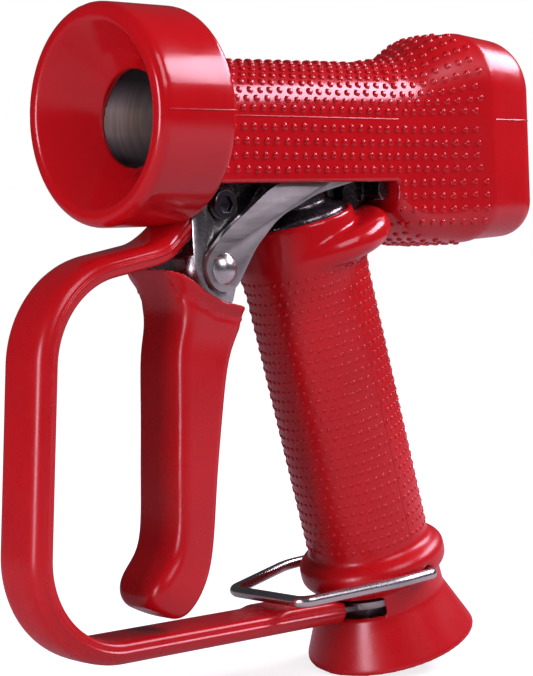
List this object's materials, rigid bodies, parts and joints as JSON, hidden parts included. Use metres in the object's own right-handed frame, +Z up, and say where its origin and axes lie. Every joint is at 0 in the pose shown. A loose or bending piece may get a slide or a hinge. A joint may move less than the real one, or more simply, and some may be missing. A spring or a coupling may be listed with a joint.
{
  "type": "fire hose nozzle",
  "caption": "Trigger-operated hose nozzle in red rubber jackets: round bumper on a pimpled barrel, tilted grip handle, guarded trigger and wire hold-open bail.",
  "frame": {"origin": "centre of the inlet thread's mouth, at the foot of the handle", "axes": "+Z up, parallel to the barrel's cross-section and 15 degrees off the handle's axis; +X along the barrel from the bumper towards the rear; +Y across, so the nozzle's mouth faces -X"},
  "size_m": [0.218, 0.067, 0.2239],
  "materials": {
    "red_rubber": "satin moulded",
    "seal_rubber": "matt",
    "black_casting": "rough, black coated",
    "steel": "pressed and turned",
    "lever_metal": "die cast, polished edges",
    "black_steel": "black oxide",
    "spring_steel": "drawn wire",
    "wire_steel": "bright stainless wire",
    "brass": "turned"
  },
  "bodies": {
    "gun": {"valve_body": "black_casting", "handle_pipe": "black_casting", "nozzle_head": "steel", "nozzle_throat": "steel", "nozzle_o_ring": "seal_rubber", "valve_seat": "brass", "stem_packing": "seal_rubber", "gland_nut": "brass", "return_spring": "spring_steel", "rear_cap": "brass", "pivot_bolt": "black_steel", "pivot_nut": "black_steel", "guard_strip": "steel", "guard_sleeve": "red_rubber", "base_nut": "black_steel", "inlet_washer": "seal_rubber", "barrel_jacket": "red_rubber", "handle_collar": "red_rubber", "handle_sleeve": "red_rubber", "handle_skirt": "red_rubber"},
    "trigger": {"trigger_lever": "lever_metal", "trigger_grip": "red_rubber", "link_rivet": "wire_steel"},
    "link_arms": {"link_arm_near": "steel", "link_arm_far": "steel"},
    "stem": {"valve_stem": "steel", "nose_cone": "brass", "seat_washer": "seal_rubber", "crosshead": "brass", "crosshead_pin": "steel", "stem_nut": "brass"},
    "bail": {"latch_wire": "wire_steel"}
  },
  "joints": [
    {"name": "trigger_hinge", "type": "hinge", "parent": "gun", "child": "trigger", "pos_m": [-0.08245, 0, 0.14743], "axis": [0, -1, 0], "range_deg": [0, 22], "stiffness_Nm_per_rad": 1.5, "springref_deg": -17.19},
    {"name": "link_hinge", "type": "hinge", "parent": "trigger", "child": "link_arms", "pos_m": [-0.08415, 0, 0.12723], "axis": [0, 1, 0], "range_deg": [0, 23.5]},
    {"name": "stem_slide", "type": "slide", "parent": "gun", "child": "stem", "axis": [1, 0, 0], "range_m": [0, 0.0084], "deforming": ["return_spring"]},
    {"name": "bail_hinge", "type": "hinge", "parent": "gun", "child": "bail", "pos_m": [-0.00513, 0, 0.02068], "axis": [0, 1, 0], "range_deg": [0, 47]}
  ],
  "couplings": [
    {"joint": "link_hinge", "follows": "trigger_hinge", "ratio": 1.0177},
    {"joint": "stem_slide", "follows": "trigger_hinge", "m_per_rad": 0.02095}
  ]
}
